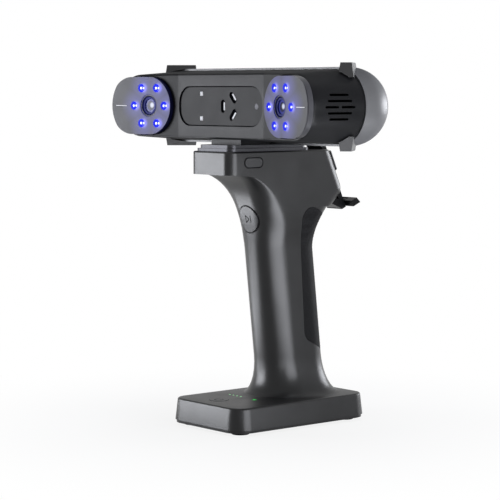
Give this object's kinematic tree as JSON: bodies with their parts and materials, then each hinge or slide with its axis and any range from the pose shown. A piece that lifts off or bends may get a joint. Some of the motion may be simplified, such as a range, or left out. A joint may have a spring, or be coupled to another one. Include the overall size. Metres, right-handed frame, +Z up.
{
  "type": "handheld three-d scanner",
  "caption": "Handheld three-d scanner: wide two-eyed scanning head with ringed lamps, quick-released onto a pistol-grip handle with flat base, thumb trigger and tilted sprung phone clamp.",
  "frame": {"origin": "on the floor under the middle of the base, on the plane of the four feet", "axes": "+Z up, -Y the way the head looks, +Y towards the phone clamp, +X to the right side of the head as seen from behind the grip"},
  "size_m": [0.216, 0.1343, 0.2539],
  "materials": {
    "shell_plastic": "satin moulded charcoal",
    "rear_plastic": "satin moulded charcoal",
    "eye_plate_metal": "satin, bevelled edge",
    "panel_plastic": "satin",
    "lens_glass": "polished and coated",
    "barrel_black": "matt black",
    "blue_led": "clear, lit",
    "white_diffuser": "diffusing",
    "window_black": "polished",
    "black_rubber": "fine dotted grain",
    "button_plastic": "satin",
    "clamp_plastic": "satin black",
    "circuit_board": "solder mask",
    "switch_plastic": "moulded",
    "steel": "plated",
    "mount_aluminium": "black anodised",
    "brass": "turned",
    "cell_wrap": "shrink wrapped",
    "green_light": "lit",
    "pale_light": "lit"
  },
  "bodies": {
    "frame": {"base_board": "circuit_board", "base_cover": "shell_plastic", "base_screws": "steel", "battery_cells": "cell_wrap", "battery_holder": "clamp_plastic", "bench_screws": "steel", "centre_panel": "panel_plastic", "charge_light_pipe": "green_light", "clamp_carrier": "clamp_plastic", "clamp_screws": "steel", "clamp_spring": "steel", "clamp_stem": "clamp_plastic", "colour_camera": "barrel_black", "colour_camera_window": "window_black", "control_board": "circuit_board", "feet": "black_rubber", "fill_light_board": "circuit_board", "fill_lights": "white_diffuser", "grip_pad": "black_rubber", "handle_screws": "steel", "head_front_shell": "shell_plastic", "head_main_board": "circuit_board", "head_rear_shell": "rear_plastic", "head_usb_port": "steel", "heat_sink": "mount_aluminium", "indicator_light_pipes": "pale_light", "laser_modules": "barrel_black", "laser_windows": "window_black", "left_eye_led_board": "circuit_board", "left_eye_leds": "blue_led", "left_eye_plate": "eye_plate_metal", "left_handle_shell": "shell_plastic", "left_lens": "lens_glass", "left_lens_barrel": "barrel_black", "lip_pin": "steel", "mount_screw": "steel", "optical_bench": "mount_aluminium", "power_switch": "switch_plastic", "quick_release_plate": "mount_aluminium", "right_eye_led_board": "circuit_board", "right_eye_leds": "blue_led", "right_eye_plate": "eye_plate_metal", "right_handle_shell": "shell_plastic", "right_lens": "lens_glass", "right_lens_barrel": "barrel_black", "shoe_plate": "mount_aluminium", "shoe_screws": "steel", "thread_insert": "brass", "trigger_board": "circuit_board", "trigger_switch": "switch_plastic", "usb_c_port": "steel"},
    "trigger": {"trigger_button": "button_plastic"},
    "release": {"release_key": "button_plastic", "release_latch": "steel", "release_spring": "steel"},
    "power": {"power_button": "button_plastic"},
    "jaw": {"upper_jaw": "clamp_plastic", "upper_jaw_pad": "black_rubber"},
    "lip": {"lower_lip": "clamp_plastic"}
  },
  "joints": [
    {"name": "trigger_press", "type": "slide", "parent": "frame", "child": "trigger", "axis": [0, 0.9938, 0.1108], "range_m": [0, 0.0012], "stiffness_N_per_m": 2000, "springref_m": -0.0004},
    {"name": "release_press", "type": "slide", "parent": "frame", "child": "release", "axis": [-1, 0, 0], "range_m": [0, 0.002], "stiffness_N_per_m": 1000, "springref_m": -0.001},
    {"name": "power_press", "type": "slide", "parent": "frame", "child": "power", "axis": [0, 0, -1], "range_m": [0, 0.0008], "stiffness_N_per_m": 2500, "springref_m": -0.0003},
    {"name": "jaw_slide", "type": "slide", "parent": "frame", "child": "jaw", "axis": [0, -0.4067, 0.9135], "range_m": [0, 0.018], "stiffness_N_per_m": 250, "springref_m": -0.02},
    {"name": "lip_fold", "type": "hinge", "parent": "frame", "child": "lip", "pos_m": [0, 0.06729, 0.15484], "axis": [1, 0, 0], "range_deg": [0, 80]}
  ]
}
